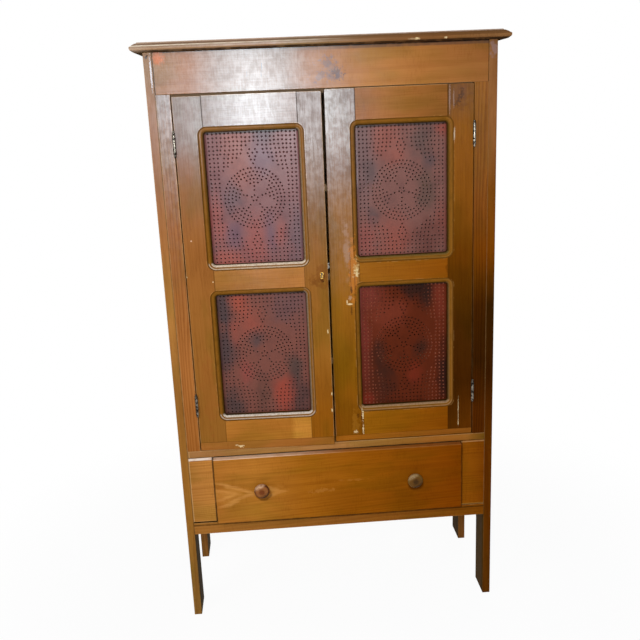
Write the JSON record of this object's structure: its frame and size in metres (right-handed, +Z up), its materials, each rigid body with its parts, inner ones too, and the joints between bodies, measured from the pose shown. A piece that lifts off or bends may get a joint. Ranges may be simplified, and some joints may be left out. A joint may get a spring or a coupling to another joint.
{
  "type": "pie safe",
  "caption": "Tall pine cupboard on legs cut from its sides, with doors of star-punched tin, one standing ajar, over a wide drawer with turned knobs.",
  "frame": {"origin": "on the floor under the middle of the whole object's box", "axes": "+Z up, +X to the right seen from the front, the front looks along -Y"},
  "size_m": [0.946, 0.45, 1.6145],
  "materials": {
    "varnished_pine": "glossy old varnish",
    "bare_pine": "bare, dry",
    "stop_pine": "bare, grey with age",
    "punched_tin": "worn oxide paint",
    "hinge_iron": "dark, worn bright at the ends",
    "plain_iron": "dull, stained",
    "keyhole_brass": "tarnished",
    "knob_wood": "glossy, worn"
  },
  "bodies": {
    "case": {"side_board_left": "varnished_pine", "side_board_right": "varnished_pine", "top_board": "varnished_pine", "frieze_rail": "varnished_pine", "face_stile_left": "varnished_pine", "face_stile_right": "varnished_pine", "divider_rail": "varnished_pine", "drawer_block_left": "varnished_pine", "drawer_block_right": "varnished_pine", "bottom_rail": "varnished_pine", "compartment_floor": "bare_pine", "shelf_lower": "bare_pine", "shelf_middle": "bare_pine", "shelf_upper": "bare_pine", "shelf_cleats_left": "bare_pine", "shelf_cleats_right": "bare_pine", "back_board_left": "bare_pine", "back_board_middle": "bare_pine", "back_board_right": "bare_pine", "drawer_runner_left": "bare_pine", "drawer_runner_right": "bare_pine", "back_rail": "bare_pine", "door_stop": "stop_pine", "case_hinge_leaves": "hinge_iron", "hinge_pins": "hinge_iron", "case_hinge_screws": "hinge_iron", "case_nails": "plain_iron"},
    "left_door": {"left_hinge_stile": "varnished_pine", "left_meeting_stile": "varnished_pine", "left_top_rail": "varnished_pine", "left_middle_rail": "varnished_pine", "left_bottom_rail": "varnished_pine", "left_bottom_strip": "varnished_pine", "left_upper_tin": "punched_tin", "left_lower_tin": "punched_tin", "left_hinge_leaves": "hinge_iron", "left_fasteners": "plain_iron", "left_keyhole_lining": "keyhole_brass", "left_lock_body": "plain_iron"},
    "right_door": {"right_hinge_stile": "varnished_pine", "right_meeting_stile": "varnished_pine", "right_top_rail": "varnished_pine", "right_middle_rail": "varnished_pine", "right_bottom_rail": "varnished_pine", "right_bottom_strip": "varnished_pine", "right_upper_tin": "punched_tin", "right_lower_tin": "punched_tin", "right_hinge_leaves": "hinge_iron", "right_fasteners": "plain_iron", "right_strike_plate": "plain_iron", "right_catch_case": "plain_iron"},
    "drawer": {"drawer_front": "varnished_pine", "drawer_side_left": "bare_pine", "drawer_side_right": "bare_pine", "drawer_back": "bare_pine", "drawer_bottom": "bare_pine", "knob_left": "knob_wood", "knob_right": "knob_wood"},
    "lock_bolt": {"left_lock_bolt": "plain_iron"},
    "catch_bolt": {"right_catch_bolt": "plain_iron"}
  },
  "joints": [
    {"name": "left_door_hinge", "type": "hinge", "parent": "case", "child": "left_door", "pos_m": [-0.3855, -0.1823, 1], "axis": [0, 0, -1], "range_deg": [-2.4, 165]},
    {"name": "right_door_hinge", "type": "hinge", "parent": "case", "child": "right_door", "pos_m": [0.3855, -0.1823, 1], "axis": [0, 0, 1], "range_deg": [0, 167]},
    {"name": "drawer_slide", "type": "slide", "parent": "case", "child": "drawer", "axis": [0, -1, 0], "range_m": [-0.017, 0.27]},
    {"name": "lock_bolt_slide", "type": "slide", "parent": "left_door", "child": "lock_bolt", "axis": [0.9991, -0.0419, 0], "range_m": [0, 0.009]},
    {"name": "catch_bolt_slide", "type": "slide", "parent": "right_door", "child": "catch_bolt", "axis": [0, 0, 1], "range_m": [0, 0.016]}
  ]
}
